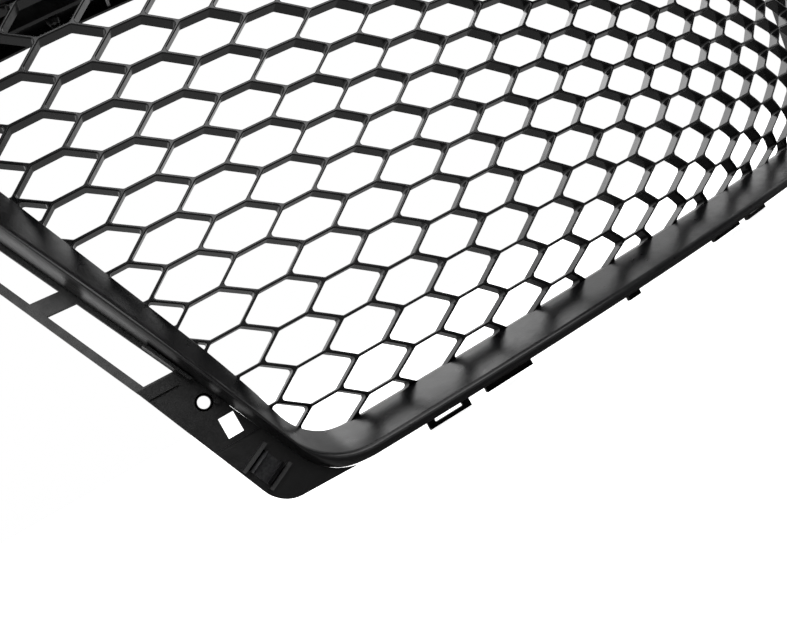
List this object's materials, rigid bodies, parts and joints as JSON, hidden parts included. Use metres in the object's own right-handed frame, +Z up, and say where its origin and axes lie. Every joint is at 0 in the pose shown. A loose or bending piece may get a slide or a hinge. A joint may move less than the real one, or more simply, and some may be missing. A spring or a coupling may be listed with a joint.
{
  "type": "front grille",
  "caption": "Car front grille: a curved honeycomb insert in a satin surround, with a lower tab rail, an upper mounting shelf, side flanges and push retainers.",
  "frame": {"origin": "centre of the top centre hole, at the underside of the mounting shelf", "axes": "+X across the car, to the right as seen from in front; -Y forward, out of the grille's face; +Z up"},
  "size_m": [0.8204, 0.1228, 0.3445],
  "materials": {
    "honeycomb": "gloss black moulding",
    "bezel": "satin charcoal, fine grain",
    "carrier": "matte black moulding",
    "screw": "zinc plated",
    "clip_steel": "dark phosphated spring steel",
    "seal": "matte extruded rubber",
    "pad": "felt",
    "retainer": "satin black nylon"
  },
  "bodies": {
    "grille": {"honeycomb_insert": "honeycomb", "surround_bezel": "bezel", "lower_tab_rail": "carrier", "upper_mounting_shelf": "carrier", "left_side_flange": "carrier", "right_side_flange": "carrier", "insert_screws": "screw", "lower_rail_screws": "screw", "upper_shelf_screws": "screw", "left_flange_screws": "screw", "right_flange_screws": "screw", "left_spring_clip": "clip_steel", "right_spring_clip": "clip_steel", "bonnet_seal_strip": "seal", "anti_rattle_pads": "pad", "retainer_body_outer_left": "retainer", "retainer_body_inner_left": "retainer", "retainer_body_inner_right": "retainer", "retainer_body_outer_right": "retainer"},
    "pin_outer_left": {"retainer_pin_outer_left": "retainer"},
    "pin_inner_left": {"retainer_pin_inner_left": "retainer"},
    "pin_inner_right": {"retainer_pin_inner_right": "retainer"},
    "pin_outer_right": {"retainer_pin_outer_right": "retainer"}
  },
  "joints": [
    {"name": "pin_lift_outer_left", "type": "slide", "parent": "grille", "child": "pin_outer_left", "axis": [0, 0, 1], "range_m": [0, 0.006]},
    {"name": "pin_lift_inner_left", "type": "slide", "parent": "grille", "child": "pin_inner_left", "axis": [0, 0, 1], "range_m": [0, 0.006]},
    {"name": "pin_lift_inner_right", "type": "slide", "parent": "grille", "child": "pin_inner_right", "axis": [0, 0, 1], "range_m": [0, 0.006]},
    {"name": "pin_lift_outer_right", "type": "slide", "parent": "grille", "child": "pin_outer_right", "axis": [0, 0, 1], "range_m": [0, 0.006]}
  ]
}
